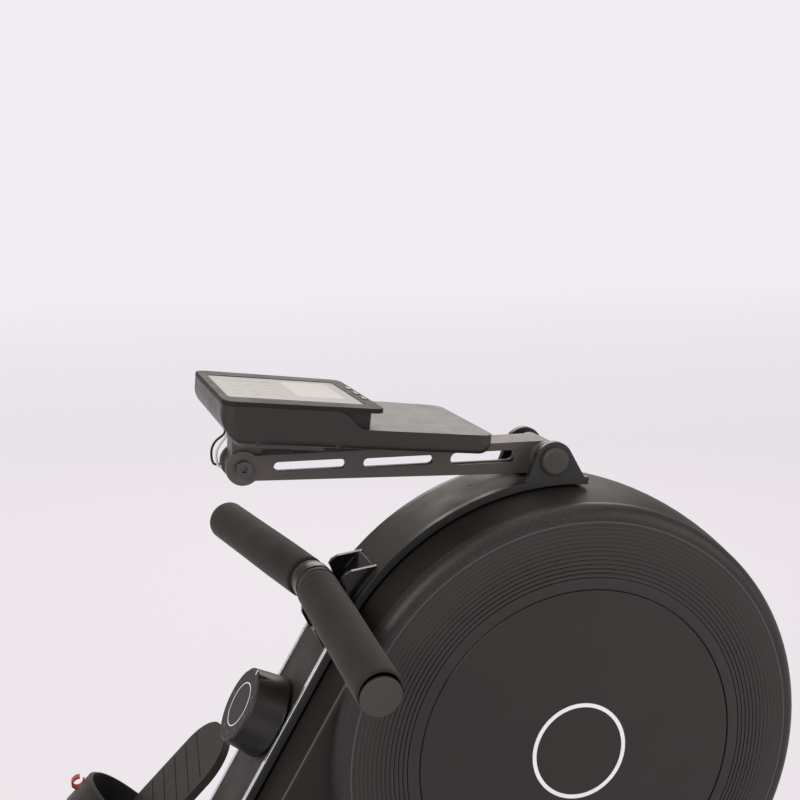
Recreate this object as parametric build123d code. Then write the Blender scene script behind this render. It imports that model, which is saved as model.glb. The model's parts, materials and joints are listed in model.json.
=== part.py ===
from build123d import *
from math import acos, asin, atan2, cos, degrees, hypot, radians, sin, sqrt
import os

# Rowing machine with a magnetically braked flywheel, a pull strap and a folding seat rail.
# Everything is drawn around the flywheel axle (x forward, y to the user's left, z up) and is
# moved to the part frame, on the floor under the middle of the machine, when it is saved.

# ---- driving dimensions, mm -------------------------------------------------------------
axle_height = 430.0          # flywheel axle above the floor
floor_z = -axle_height
rear_end_x = -1800.0         # rear end of the seat rail

crown_r = 258.5              # drum radius at the parting line
edge_r = 250.0               # drum radius where the crown meets the shoulder
edge_y = 79.0
face_r = 234.0               # outer rim of the ridged ring
face_y = 94.0
drum_y = 96.0                # half thickness of the drum at its flat face
disc_r = 167.0               # groove around the removable side disc
wall = 3.0
ridge_count = 13
ridge_pitch = 4.4

neck_angle = 60.0            # slope of the neck, and the place where it leaves the drum
neck_inner_d = 150.0         # lower face of the neck fairing, from the axle
band_d = 267.0               # top of the neck cover, from the axle
band_y = 35.8
flange_y0 = 36.0
flange_y1 = 43.0
band_start = 84.0            # angle on the drum where the cover starts, degrees
post_d0 = 209.0
post_d1 = 250.0
post_y = 30.0

base_z0 = floor_z + 58.0     # base beam
base_z1 = floor_z + 108.0
base_front_x = 165.0
rail_top_z = -170.0
rail_h = 65.0
rail_half = 20.0
stub_end_x = -668.0          # end of the fixed rear beam
fold_x = -670.0              # rail folding pin
fold_z = -150.0
rail_front_x = -673.0

arm_pivot = (-10.0, 284.0)   # console arm on the drum
screen_pivot = (-317.0, 292.0)
screen_slope = 6.3           # console plane falls towards the front

bar_centre = (-246.3, 167.8)
bar_yaw = 8.1                # the bar hangs a little askew in its cradle
bar_roll = 6.7
bar_bend = 6.2
bar_bow_tilt = 63.7          # the bow of the bar points this far forward of straight up
grip_r = 21.5
grip_start = 14.5
grip_end = 214.0
collar_r = 16.0
collar_rim_r = 19.4
plug_r = 18.8
tube_r = 12.5

knob_s = 118.0               # knob axis, measured down the neck from the tangent point
knob_top_d = 304.5
knob_face_r = 38.0
knob_base_r = 42.0

toe_x, toe_z = -320.0, -36.0  # toe end of the footplates
plate_len = 290.0
plate_y0 = 84.0
plate_y1 = 190.0
plate_t = 9.0
pedal_u = 190.0              # pedal axle, down the plate from the toe
pedal_drop = 30.0            # and below its top face
pedal_r = 8.0

seat_x = -1000.0             # middle of the seat at rest
seat_w = 300.0
seat_l = 240.0
seat_z0 = -122.0
seat_z1 = -78.0
roller_r = 17.8
roller_z = rail_top_z + 18.0
roller_x = 70.0

front_foot_x = 120.0
mid_foot_x = -610.0
rear_foot_x = -1715.0

flywheel_r = 205.0
axle_r = 8.0
coil_r = 52.0
fit_gap = 0.05               # radial running clearance

centre_x = (crown_r + rear_end_x) / 2

# ---- directions -------------------------------------------------------------------------
n_x, n_z = -cos(radians(90 - neck_angle)), sin(radians(90 - neck_angle))
t_x, t_z = -n_z, n_x
neck_normal = Vector(n_x, 0, n_z)
neck_down = Vector(t_x, 0, t_z)
half_root = sqrt(0.5)
sole_normal = Vector(-half_root, 0, half_root)
sole_down = Vector(-half_root, 0, -half_root)


def neck_xz(s, d):
    """Side-view point s down the neck and d out from the axle."""
    return (n_x * d + t_x * s, n_z * d + t_z * s)


def polar(r, angle):
    return (r * cos(radians(angle)), r * sin(radians(angle)))


def across(sketch, y_low, y_high):
    """Extrude a side-view sketch, drawn as (x, z), from y_low to y_high."""
    return Pos(0, y_high, 0) * extrude(Plane.XZ * sketch, amount=y_high - y_low)


def rod(x, z, r, y_low, y_high):
    """Cylinder along Y."""
    return across(Pos(x, z) * Circle(r), y_low, y_high)


def block(x0, x1, y0, y1, z0, z1):
    return Pos((x0 + x1) / 2, (y0 + y1) / 2, (z0 + z1) / 2) * Box(x1 - x0, y1 - y0, z1 - z0)


def lathe(sketch):
    """Turn a half section, drawn as (radius, y), about the axle."""
    return revolve(sketch, axis=Axis.Y)


def polygon(*points):
    return make_face(Polyline(*points, close=True))


def capsule(p, q, rp, rq):
    """Side-view link between two rounded ends."""
    dx, dz = q[0] - p[0], q[1] - p[1]
    length = hypot(dx, dz)
    lean = asin((rp - rq) / length)
    turn = atan2(dz, dx)
    ends = [Pos(*p) * Circle(rp), Pos(*q) * Circle(rq)]
    quad = []
    for side in (1, -1):
        a = turn + side * (radians(90) - lean)
        quad.append((p[0] + rp * cos(a), p[1] + rp * sin(a)))
        quad.append((q[0] + rq * cos(a), q[1] + rq * sin(a)))
    body = polygon(quad[0], quad[1], quad[3], quad[2])
    return body + ends[0] + ends[1]


def on_neck(s, d):
    """Plane facing out of the neck: sketch x is Y, sketch y runs down the neck."""
    return Plane(origin=neck_normal * d + neck_down * s, x_dir=(0, 1, 0), z_dir=neck_normal)


def on_sole(u, h):
    """Plane on the footplate: sketch x is Y, sketch y runs down from the toe."""
    origin = Vector(toe_x, 0, toe_z) + sole_down * u + sole_normal * h
    return Plane(origin=origin, x_dir=(0, 1, 0), z_dir=sole_normal)


e_a = Vector(cos(radians(screen_slope)), 0, -sin(radians(screen_slope)))
e_h = Vector(sin(radians(screen_slope)), 0, cos(radians(screen_slope)))
screen_origin = Vector(screen_pivot[0], 0, screen_pivot[1])
console_side = Plane(origin=screen_origin, x_dir=e_a, z_dir=(0, -1, 0))


def console_at(h):
    """Plane parallel to the screen, h above the tilt pivot: sketch (a, y)."""
    return Plane(origin=screen_origin + e_h * h, x_dir=e_a, z_dir=e_h)


def mirrored(shape):
    return mirror(shape, about=Plane.XZ)


def save(name, *solids):
    place = Pos(-centre_x, 0, axle_height)
    moved = [place * s for s in solids]
    shape = moved[0] if len(moved) == 1 else Compound(children=moved)
    export_step(shape, f"parts/{name}.step")


# ---- frame ------------------------------------------------------------------------------
def axle_plate(y0, y1):
    """Side plate that carries the flywheel axle, from the neck post to the base beam."""
    outline = polygon((28, 0), (20, 30), (-20, 45), neck_xz(-25.5, 205.2), neck_xz(168, 205.2),
                      (-190, -110), (-150, -188), (-78, -234), (-62, base_z1), (-8, base_z1), (8, -60))
    return across(outline, y0, y1)


roller_s, roller_d = -8.0, 238.0
guide_r = 9.0
brake_angle = -130.0
brake_pivot = polar(217.0, brake_angle)
brake_open = 5.0


def main_frame():
    base_end_s = (n_z * 228 - base_z1) / -t_z
    post = extrude(Plane(origin=neck_down * 15, x_dir=neck_normal, z_dir=neck_down)
                   * Pos((post_d0 + post_d1) / 2, 0) * Rectangle(post_d1 - post_d0, 2 * post_y),
                   amount=base_end_s + 20)
    post -= block(-700, 0, -60, 60, base_z0 - 80, base_z1)
    base = block(mid_foot_x - 40, base_front_x, -post_y, post_y, base_z0, base_z1)
    stub = block(stub_end_x, -370, -rail_half, rail_half, rail_top_z - rail_h, rail_top_z)
    strut = block(mid_foot_x - 22, mid_foot_x + 22, -rail_half, rail_half, base_z1, rail_top_z - rail_h)
    frame = post + base + stub + strut
    frame += axle_plate(-46, -40) + axle_plate(48, 54)
    frame += block(-62, -8, -46, 54, base_z1, base_z1 + 18)
    tie = polygon(neck_xz(40, 208), neck_xz(40, 220), neck_xz(100, 220), neck_xz(100, 200), neck_xz(75, 200))
    frame += across(tie, -46, 54)
    lug = across(capsule((fold_x + 12, fold_z - 25), (fold_x, fold_z), 13, 13), rail_half + 0.6, rail_half + 6)
    lug += block(fold_x + 3, fold_x + 45, rail_half, rail_half + 6, rail_top_z - 40, rail_top_z - 8)
    frame += lug + mirrored(lug)
    frame -= rod(fold_x, fold_z, 6, -40, 40)
    fork = across(capsule(neck_xz(20, 238), neck_xz(roller_s, roller_d), 10, 9), 17, 22)
    frame += fork + mirrored(fork)
    frame += rod(*neck_xz(roller_s, roller_d), 4, -22, 22)
    frame += rod(*brake_pivot, 6, -40, 48)
    frame -= rod(0, 0, axle_r, -60, 60)
    frame -= rod(*pedal_axis(), pedal_r, -60, 60)
    frame -= extrude(on_neck(knob_s, 220) * Circle(6.5), amount=60)
    return frame


def cross_foot(x, half_length, leg_z1):
    """Cross tube of a floor foot, with a saddle up to what it carries."""
    tube = block(x - 25, x + 25, -half_length, half_length, floor_z + 18, floor_z + 58)
    tube = fillet(tube.edges().filter_by(Axis.Y), 8)
    if leg_z1 > floor_z + 58:
        tube += block(x - 20, x + 20, -rail_half, rail_half, floor_z + 50, leg_z1)
    return tube


def foot_caps(x, half_length):
    caps = []
    for side in (1, -1):
        y0, y1 = sorted((side * half_length, side * (half_length + 24)))
        cap = block(x - 29, x + 29, y0, y1, floor_z, floor_z + 62)
        cap = fillet(cap.edges().filter_by(Axis.Y), 7)
        caps.append(cap)
    return caps


wheel_r = 28.0
wheel_x = front_foot_x + 58.0
wheel_z = floor_z + 34.0
wheel_y = 190.0


def front_foot():
    foot = cross_foot(front_foot_x, 235, floor_z)
    for side in (1, -1):
        arm = across(capsule((front_foot_x + 15, floor_z + 40), (wheel_x, wheel_z), 11, 10),
                     *sorted((side * (wheel_y - 22), side * (wheel_y - 16))))
        foot += arm
        foot += rod(wheel_x, wheel_z, 5, *sorted((side * (wheel_y - 18), side * (wheel_y + 14))))
    return foot


def transport_wheel(side):
    half = lathe(polygon((5 + fit_gap, -11), (wheel_r - 3, -11), (wheel_r, -8), (wheel_r, 8),
                         (wheel_r - 3, 11), (5 + fit_gap, 11)))
    return Pos(wheel_x, side * wheel_y, wheel_z) * half


# ---- drum housing -----------------------------------------------------------------------
def drum_section(offset):
    """Half section of the drum, drawn as (radius, y), shrunk inwards by offset."""
    top = Line((0, drum_y - offset), (disc_r + 4, drum_y - offset))
    slope = Line(top @ 1, (face_r - offset / 2, face_y - offset))
    shoulder = ThreePointArc(slope @ 1, (face_r + 12.2 - offset * 0.8, face_y - 4.2 - offset * 0.8),
                             (edge_r - offset, edge_y))
    crown = ThreePointArc(shoulder @ 1, (crown_r - 2.1 - offset, edge_y / 2), (crown_r - offset, 0))
    back = Line(crown @ 1, (0, 0))
    close = Line((0, 0), top @ 0)
    return make_face([top, slope, shoulder, crown, back, close])


def neck_section(offset):
    """Half section of the neck fairing, drawn as (d, y)."""
    inner = neck_inner_d + offset
    side = Line((inner, edge_y - offset), (edge_r - 6, edge_y - offset))
    corner = ThreePointArc(side @ 1, (edge_r - 1.8 - offset * 0.8, edge_y - 1.8 - offset * 0.8),
                           (edge_r - offset, edge_y - 6))
    crown = ThreePointArc(corner @ 1, (crown_r - 2.1 - offset, edge_y / 2), (crown_r - offset, 0))
    back = Line(crown @ 1, (inner, 0))
    close = Line(back @ 1, side @ 0)
    return make_face([side, corner, crown, back, close])


def neck_body(offset):
    length = 520
    body = extrude(Plane(origin=(0, 0, 0), x_dir=neck_normal, z_dir=neck_down) * neck_section(offset),
                   amount=length)
    return body - block(-700, 0, -10, 120, -700, base_z1 + 4 + offset)


def housing_left():
    """Left half of the casing: ridged drum with the neck fairing, a hollow shell."""
    outer = lathe(drum_section(0)) + neck_body(0)
    inner = lathe(drum_section(wall)) + neck_body(wall)
    shell = outer - inner
    shell -= rod(0, 0, disc_r, drum_y - 3, drum_y + 5)
    shell += rod(0, 0, disc_r + 2, drum_y - 6, drum_y - 3) - rod(0, 0, 24, drum_y - 7, drum_y)
    grooves = [Pos(disc_r + 12 + i * ridge_pitch, drum_y - 0.4) * Rectangle(1.2, 2.6)
               for i in range(ridge_count)]
    shell -= lathe(Sketch() + grooves)
    shell -= block(-700, 0, 0, 57, base_z0, -225) & across(Pos(-36, -280) * Rectangle(92, 160), 0, 57)
    shell -= block(-700, -300, 0, post_y + 1, base_z0, base_z1 + 20)
    shell -= block(-700, -350, 0, rail_half + 1, rail_top_z - rail_h - 1, rail_top_z + 1)
    shell -= extrude(on_neck(-18, 240) * Rectangle(30, 26), amount=40)
    shell -= extrude(on_neck(knob_s, 240) * Circle(9), amount=40)
    return shell - block(-700, 400, -100, 0.1, -700, 400)


def side_disc_left():
    """Removable round cover, dished by a fine rim line, with a seat for the emblem ring."""
    disc = rod(0, 0, disc_r - 1.2, drum_y - 2.9, drum_y)
    disc = chamfer(disc.edges().filter_by(GeomType.CIRCLE).group_by(Axis.Y)[-1], 0.8)
    return disc - (rod(0, 0, 50.2, drum_y - 0.8, drum_y + 1) - rod(0, 0, 45.8, drum_y - 2, drum_y + 2))


def emblem_ring(side):
    y0, y1 = sorted((side * (drum_y - 0.8), side * (drum_y + 0.5)))
    return rod(0, 0, 50, y0, y1) - rod(0, 0, 46, y0 - 1, y1 + 1)


# ---- neck cover, bracket and trim -------------------------------------------------------
def band_outline(d0, d1, s_end):
    """Side view of a strip that follows the drum and runs on straight down the neck."""
    start = band_start
    mid = (start + 180 - (90 - neck_angle)) / 2
    last = 180 - (90 - neck_angle)
    outer = ThreePointArc(polar(d1, start), polar(d1, mid), polar(d1, last))
    down = Line(outer @ 1, neck_xz(s_end, d1))
    foot = Line(down @ 1, neck_xz(s_end, d0))
    back = Line(foot @ 1, polar(d0, last))
    inner = ThreePointArc(back @ 1, polar(d0, mid), polar(d0, start))
    close = Line(inner @ 1, outer @ 0)
    return make_face([outer, down, foot, back, inner, close])


band_length = 290.0


def neck_cover():
    cover = across(band_outline(261, band_d, band_length), -band_y, band_y)
    cover -= extrude(on_neck(-18, 240) * Rectangle(30, 26), amount=40)
    cover -= extrude(on_neck(knob_s, 240) * Circle(9), amount=40)
    cover -= across(Pos(*arm_pivot) * Circle(21), -40, 40)
    for s in screw_places:
        cover -= extrude(screw_plane(s) * Circle(screw_head_r + 0.2), amount=8)
    return cover


screw_head_r = 3.6
screw_places = (-195.0, 262.0)    # the upper screw is up on the drum, the lower one near the neck's foot


def screw_plane(s):
    """Seat of a cover screw: on the drum for a negative arc length, else down the neck."""
    if s < 0:
        x, z = polar(band_d - 2.6, 150 + degrees(s / band_d))
        return Plane(origin=(x, 0, z), x_dir=(0, 1, 0), z_dir=Vector(x, 0, z).normalized())
    return on_neck(s, band_d - 2.6)


def cover_screw(s):
    head = extrude(screw_plane(s) * Circle(screw_head_r), amount=2.2)
    slot = Rectangle(4.4, 0.9) + Rectangle(0.9, 4.4)
    return head - extrude(screw_plane(s) * Pos(0, 0, 1.2) * slot, amount=2)


def arm_bracket_left():
    """Plate along the neck with the ear that holds the console arm."""
    plate = band_outline(band_d - 7.5, band_d, band_length)
    top = (arm_pivot[0], arm_pivot[1])
    ear = polygon(polar(260, band_start), polar(266, 98.5), (top[0] - 17, top[1] + 10), (top[0] + 17, top[1] + 10))
    ear += Pos(*top) * Circle(19.7)
    plate = plate + ear
    return across(plate, flange_y0, flange_y1) - rod(*arm_pivot, 6 + fit_gap, 0, 60)


def neck_trim(side):
    """Bright strip on the edge of the bracket plate, with a fine groove along it."""
    y0, y1 = sorted((side * (flange_y0 + 1), side * (flange_y1 - 1)))
    strip = across(trim_outline(band_d, band_d + 1.2), y0, y1)
    middle = side * (flange_y0 + flange_y1) / 2
    return strip - across(trim_outline(band_d + 0.5, band_d + 3), middle - 0.5, middle + 0.5)


def trim_outline(d0, d1):
    return polygon(neck_xz(4, d0), neck_xz(4, d1), neck_xz(band_length - 4, d1), neck_xz(band_length - 4, d0))


# ---- flywheel, spool and brake ----------------------------------------------------------
def flywheel():
    rim = polygon((flywheel_r - 42, 19), (flywheel_r - 2, 19), (flywheel_r, 21), (flywheel_r, 43),
                  (flywheel_r - 2, 45), (flywheel_r - 42, 45))
    web = polygon((30, 28), (flywheel_r - 41, 28), (flywheel_r - 41, 36), (30, 36))
    hub = polygon((17, 16), (34, 16), (34, 45), (17, 45))
    return lathe(rim + web + hub)


def bearing(y0, y1):
    return rod(0, 0, 17, y0, y1) - rod(0, 0, axle_r + fit_gap, y0 - 1, y1 + 1)


def strap_spool():
    """Drum that the strap winds on, with its one-way clutch boss; the coil is on it."""
    section = polygon((axle_r + fit_gap, -13), (62, -13), (62, -11), (coil_r, -11), (coil_r, 11),
                      (62, 11), (62, 13), (axle_r + fit_gap, 13))
    return lathe(section)


def rewind_spring_case():
    case = rod(0, 0, 58, -38, -16) - rod(0, 0, 54, -36, -18) - rod(0, 0, 12, -40, -10)
    return case + (rod(0, 0, 48, -34, -20) - rod(0, 0, 24, -35, -15)) + (rod(0, 0, 50, -36, -34) - rod(0, 0, 30, -37, -33))


def magnet_arm():
    """Curved brake arm outside the flywheel rim, drawn closed and turned open by brake_open."""
    ring = lathe(polygon((211, 20), (221, 20), (221, 44), (211, 44)))
    start, end = brake_angle, -62.0
    wedge = polygon((0, 0), polar(400, start), polar(400, (start + end) / 2), polar(400, end))
    arm = ring & across(wedge, 0, 60)
    arm += rod(*brake_pivot, 12, 20, 44)
    arm -= rod(*brake_pivot, 6 + fit_gap, 0, 60)
    return turn_brake(arm)


def turn_brake(shape):
    px, pz = brake_pivot
    return Pos(px, 0, pz) * Rot(0, brake_open, 0) * Pos(-px, 0, -pz) * shape


def brake_magnets():
    ring = lathe(polygon((207.6, 24), (211, 24), (211, 40), (207.6, 40)))
    magnets = []
    for middle in (-112.0, -98.0, -84.0, -70.0):
        wedge = polygon((0, 0), polar(400, middle - 5), polar(400, middle + 5))
        magnets.append(turn_brake(ring & across(wedge, 0, 60)))
    return magnets


# ---- strap, guide and cradle ------------------------------------------------------------
bar_angle = degrees(atan2(bar_centre[1], bar_centre[0]))
bar_reach = hypot(*bar_centre)


def mouth_point(r):
    return polar(r, bar_angle)


def drive_strap():
    """Flat webbing from the handle clip, over the guide roller and onto the spool."""
    tangent = bar_angle - degrees(acos((coil_r + 1.3) / 250))
    start, bend, end = mouth_point(258.5), mouth_point(250), polar(coil_r + 1.3, tangent)
    path = Polyline(start, bend, end)
    band = make_face(offset(path, amount=0.7, side=Side.BOTH).edges())
    return across(band, -10, 10)


def guide_roller():
    x, z = neck_xz(roller_s, roller_d)
    return rod(x, z, guide_r, -13, 13) - rod(x, z, 4 + fit_gap, -20, 20)


def cradle_plate(y0, y1):
    """Side cheek with two rounded horns around the hanging bar."""
    outline = polygon(polar(band_d, 135.0), polar(283.5, 139.2), polar(286.5, 140.6), polar(286.5, 151.8),
                      polar(284.0, 153.0), polar(band_d, 155.8))
    outline -= capsule(polar(295.0, 146.2), polar(330.0, 146.2), 24.4, 24.4)
    tips = [v for v in outline.vertices() if hypot(v.X, v.Y) > 279]
    return across(fillet(tips, 1.3), y0, y1)


def handle_cradle():
    cradle = cradle_plate(24.6, 30.0)
    cradle += mirrored(cradle)
    for a0, a1 in ((135.0, 141.0), (151.5, 155.8)):
        tie = polygon(polar(band_d - 4, a0), polar(band_d + 3, a0 + 0.6), polar(band_d + 3, a1 - 0.6),
                      polar(band_d - 4, a1))
        cradle += across(tie, -25, 25)
    return cradle - across(band_outline(240, band_d + 0.05, 60), -40, 40)


# ---- handle -----------------------------------------------------------------------------
bar_along = Vector(-sin(radians(bar_yaw)) * cos(radians(bar_roll)),
                   cos(radians(bar_yaw)) * cos(radians(bar_roll)), sin(radians(bar_roll)))
lean = Vector(sin(radians(bar_bow_tilt)), 0, cos(radians(bar_bow_tilt)))
bar_up = (lean - bar_along * lean.dot(bar_along)).normalized()
bar_origin = Vector(bar_centre[0], 0, bar_centre[1])
bar_plane = Plane(origin=bar_origin, x_dir=bar_along, z_dir=bar_along.cross(bar_up))


def bar_half(side):
    """Unit vector along one drooping half of the bar."""
    return bar_along * (side * cos(radians(bar_bend))) - bar_up * sin(radians(bar_bend))


def along_bar(side, start, radius, length):
    plane = Plane(origin=bar_origin + bar_half(side) * start, z_dir=bar_half(side))
    return extrude(plane * Circle(radius), amount=length)


def handle_tube():
    reach = grip_end - 4
    drop = sin(radians(bar_bend)) * reach
    run = cos(radians(bar_bend)) * reach
    path = FilletPolyline((-run, -drop), (0, 0), (run, -drop), radius=110)
    path = bar_plane * path
    start = Plane(origin=path @ 0, z_dir=path % 0)
    return sweep(start * Circle(tube_r) - start * Circle(tube_r - 2.5), path=path)


def grip(side):
    foam = along_bar(side, grip_start, grip_r, grip_end - grip_start)
    foam = fillet(foam.edges(), 1.8)
    foam -= along_bar(side, 0, tube_r + 0.02, grip_end - 3.5)
    return foam - along_bar(side, grip_end - 4, plug_r + 0.1, 10)


def grip_plug(side):
    plug = along_bar(side, grip_end - 3.4, plug_r, 4.4)
    return fillet(plug.edges(), 0.9)


def handle_collar():
    plane = Plane(origin=bar_origin - bar_along * 11 - bar_up * 0.1, z_dir=bar_along)
    collar = extrude(plane * Circle(collar_r), amount=22)
    for start in (0, 16.6):
        collar += extrude(plane.offset(start) * Circle(collar_rim_r), amount=5.4)
    for side in (1, -1):
        collar -= along_bar(side, -6, tube_r + 0.6, 40)
    return collar


def strap_clip():
    """Steel loop round the bar's collar with the tongue that the strap is sewn to."""
    x, z = bar_centre
    across_bar = Plane(origin=bar_origin, z_dir=bar_along)
    toward = atan2(-z, -x)
    side = Plane(origin=bar_origin, x_dir=(cos(toward), 0, sin(toward)), z_dir=(0, -1, 0))
    neck = extrude(side * Pos(22, 0) * Rectangle(10, 7), amount=5, both=True)
    neck -= extrude(across_bar * Circle(collar_rim_r + 0.4), amount=14, both=True)
    ring = Circle(collar_rim_r + 0.9) - Circle(collar_r + 1.2)
    tongue = extrude(side * Pos(31.9, 0) * Rectangle(12, 5), amount=12.5, both=True)
    return extrude(across_bar * ring, amount=5, both=True) + neck + tongue


# ---- knob -------------------------------------------------------------------------------
flute_count = 6


def tension_knob():
    """Resistance knob: a tapered drum with short pointed flutes, on its shaft."""
    low = band_d + 3.2
    body = loft([on_neck(knob_s, low) * Circle(knob_base_r), on_neck(knob_s, knob_top_d) * Circle(knob_face_r)])
    body = fillet(body.edges().filter_by(GeomType.CIRCLE), 1.6)
    for i in range(flute_count):
        angle = i * 360 / flute_count + 12
        spike = on_neck(knob_s, knob_top_d + 1) * Rot(0, 0, angle) * Pos(knob_face_r + 2.0, 0, 0)
        body -= spike * Rot(0, -8, 0) * Pos(0, 0, -11) * Cone(0.4, 5.2, 24)
    ring = Circle(22.6) - Circle(21.4)
    body -= extrude(on_neck(knob_s, knob_top_d - 0.5) * ring, amount=3)
    return body + extrude(on_neck(knob_s, 222) * Circle(6), amount=low - 221)


def knob_collar():
    base = extrude(on_neck(knob_s, band_d) * Circle(34.5), amount=2.6)
    return base - extrude(on_neck(knob_s, band_d - 2) * Circle(8), amount=8)


# ---- console arm and console ------------------------------------------------------------
arm_wall_y = 20.0
arm_inner_y = 15.0
far_slot_r = 7.0          # the openings in the far wall are taller, and set lower
slots = ((-288.0, -218.0, 291.2, 4.6), (-200.0, -129.0, 289.2, 4.6), (-111.0, -41.0, 287.2, 6.2))


def console_arm():
    """Slotted channel arm with a hub at the drum and a fork at the console."""
    outline = capsule(arm_pivot, screen_pivot, 16.5, 12.0) + Pos(*screen_pivot) * Circle(16.5)
    arm = across(outline, -arm_wall_y, arm_wall_y)
    inside = capsule((arm_pivot[0] - 36, arm_pivot[1] - 6), (screen_pivot[0] - 30, screen_pivot[1] - 4), 14.5, 12.5)
    arm -= across(inside, -arm_inner_y, arm_inner_y)
    arm -= across(polygon((-340, 270), (-340, 320), (-268, 320), (-268, 270)), -arm_inner_y, arm_inner_y)
    arm += rod(*arm_pivot, 16.5, -26, 26)
    for x0, x1, z, r in slots:
        arm -= across(capsule((x0 + r, z + 0.4), (x1 - r, z - 0.4), r, r), -30, 30)
        arm -= across(capsule((x0 + r + 8, z - 4.6), (x1 - r + 10, z - 5.4), far_slot_r, far_slot_r), 0, 30)
    arm -= rod(*arm_pivot, 6 + fit_gap, -40, 40)
    return arm - rod(*screen_pivot, 4 + fit_gap, -40, 40)


def pivot_cap(side):
    y = side * flange_y1
    cap = rod(*arm_pivot, 14.3, *sorted((y, y + side * 5.5)))
    outer = cap.edges().filter_by(GeomType.CIRCLE).group_by(Axis.Y)[-1 if side > 0 else 0]
    return fillet(outer, 3.6)


def console_bolt():
    x, z = screen_pivot
    bolt = rod(x, z, 4, -arm_wall_y, arm_wall_y)
    heads = rod(x, z, 8, -arm_wall_y - 5, -arm_wall_y) + rod(x, z, 8, arm_wall_y, arm_wall_y + 5)
    socket = across(Pos(x, z) * RegularPolygon(3.4, 6), -arm_wall_y - 6, -arm_wall_y - 2)
    return bolt + heads - socket


def console_bracket():
    """Mounting plate under the console with the tongue that sits in the arm's fork."""
    plate = extrude(console_at(25.5) * Pos(30.5, 0) * RectangleRounded(85, 90, 8), amount=10.4)
    tongue = Circle(13) + polygon((-10, 0), (13, 0), (20, 26), (-12, 26))
    tongue = extrude(console_side * tongue, amount=arm_inner_y - 0.5, both=True)
    for y in (-26, 26):
        tongue += extrude(console_at(22) * Pos(8, y) * RectangleRounded(30, 8, 3), amount=4)
    return plate + tongue - rod(*screen_pivot, 4 + fit_gap, -40, 40)


def console_outline(a0, a1, y0, y1, r):
    corners = polygon((a0, -y0), (a1, -y1), (a1, y1), (a0, y0))
    return fillet(corners.vertices(), r)


body_a0, body_a1 = -37.0, 113.0
console_y0, tray_y1 = 95.0, 84.0     # half widths at the back of the console and at the front of the tray
tray_a1 = 224.0
console_h0, console_h1 = 36.0, 70.9
tray_h = 55.4
wall_a = 102.0                       # upright front wall under the bezel
rim_y = 78.0                         # the side rims outside this swoop down to the tray
bezel_h1 = 75.2
screen_a0, screen_a1, screen_y = -28.5, 99.4, 66.0
key_a = 107.0
key_ys = (-30.0, 0.0, 30.0)


def console_half_width(a):
    return console_y0 + (tray_y1 - console_y0) * (a - body_a0) / (tray_a1 - body_a0)


def side_cut(y0, y1, *edges):
    """Cutter drawn in the console's side view (a, h), reaching from y0 to y1."""
    return Pos(0, y1, 0) * extrude(console_side * make_face(edges), amount=y1 - y0)


def console_back():
    """Rear shell of the console, running on as a thin media tray in front of it."""
    plan = console_outline(body_a0, tray_a1, console_y0, tray_y1, 15)
    shell = extrude(console_at(console_h0) * plan, amount=console_h1 - console_h0)
    low = shell.faces().sort_by(lambda f: f.center().dot(e_h))[0]
    shell = fillet(low.edges(), 10)
    back = ThreePointArc((body_a0 - 0.01, 64), (body_a0 + 8.2, 44.2), (body_a0 + 28, console_h0 - 0.01))
    shell -= side_cut(-110, 110, back, Line(back @ 1, (body_a0 - 20, 20)), Line((body_a0 - 20, 20), back @ 0))
    swoop = Spline((66, console_h1 + 0.01), (81, 64.2), (97, tray_h), tangents=((1, 0), (1, 0)))
    for y in (-110, rim_y):
        shell -= side_cut(y, y + 110 - rim_y, swoop, Line(swoop @ 1, (240, tray_h)), Line((240, tray_h), (240, 90)),
                          Line((240, 90), (66, 90)), Line((66, 90), swoop @ 0))
    front = polygon((wall_a, tray_h), (240, tray_h), (240, 90), (wall_a, 90))
    shell -= side_cut(-rim_y - 0.5, rim_y + 0.5, *front.edges())
    shell -= extrude(console_at(69.9) * console_outline(screen_a0 - 0.6, screen_a1 + 0.6, 66.6, 66.6, 4.4), amount=20)
    shell -= extrude(console_at(console_h0 + 3) * console_outline(body_a0 + 25, wall_a - 6, 62, 62, 4), amount=50)
    for a in (-2.0, 71.0):
        for side in (1, -1):
            y = side * (console_half_width(a) - 4.0)
            shell += extrude(console_at(console_h0 + 0.4) * Pos(a, y) * Circle(2.6), amount=10)
    return shell


def console_bezel():
    """Frame around the display, with openings for the display and blind seats for the keys."""
    front_y = console_half_width(body_a1)
    frame = extrude(console_at(console_h1) * console_outline(body_a0, body_a1, console_y0, front_y, 13),
                    amount=bezel_h1 - console_h1)
    top = frame.faces().sort_by(lambda f: f.center().dot(e_h))[-1]
    frame = fillet(top.edges(), 1.4)
    window = extrude(console_at(60) * Pos((screen_a0 + screen_a1) / 2, 0)
                     * RectangleRounded(screen_a1 - screen_a0, 2 * screen_y, 4), amount=30)
    frame -= window
    for y in key_ys:
        frame -= extrude(console_at(console_h1 + 1.1) * Pos(key_a, y) * RectangleRounded(5.4, 16.4, 2.6), amount=30)
    return frame


def console_screen():
    return extrude(console_at(69.95) * Pos((screen_a0 + screen_a1) / 2, 0)
                   * RectangleRounded(screen_a1 - screen_a0 - 0.3, 2 * screen_y - 0.3, 4), amount=4.7)


def console_key(y):
    return extrude(console_at(console_h1 + 2.2) * Pos(key_a, y) * RectangleRounded(5, 16, 2.4), amount=2.7)


def wire(y, reach):
    """Thin lead that loops from the console's underside to the arm's open end."""
    start, end = (-15.5, console_h0 - 0.3), (-18.2, -2)
    points = [start, (-16.5, console_h0 - 9), (-reach, 19), (-reach, -2.3), end]
    path = FilletPolyline(*points, radius=3)
    path = Pos(0, y, 0) * (console_side * path)
    return sweep(Plane(origin=path @ 0, z_dir=path % 0) * Circle(1.2), path=path)


# ---- feet -------------------------------------------------------------------------------
def pedal_axis():
    p = Vector(toe_x, 0, toe_z) + sole_down * pedal_u - sole_normal * pedal_drop
    return (p.X, p.Z)


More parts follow.
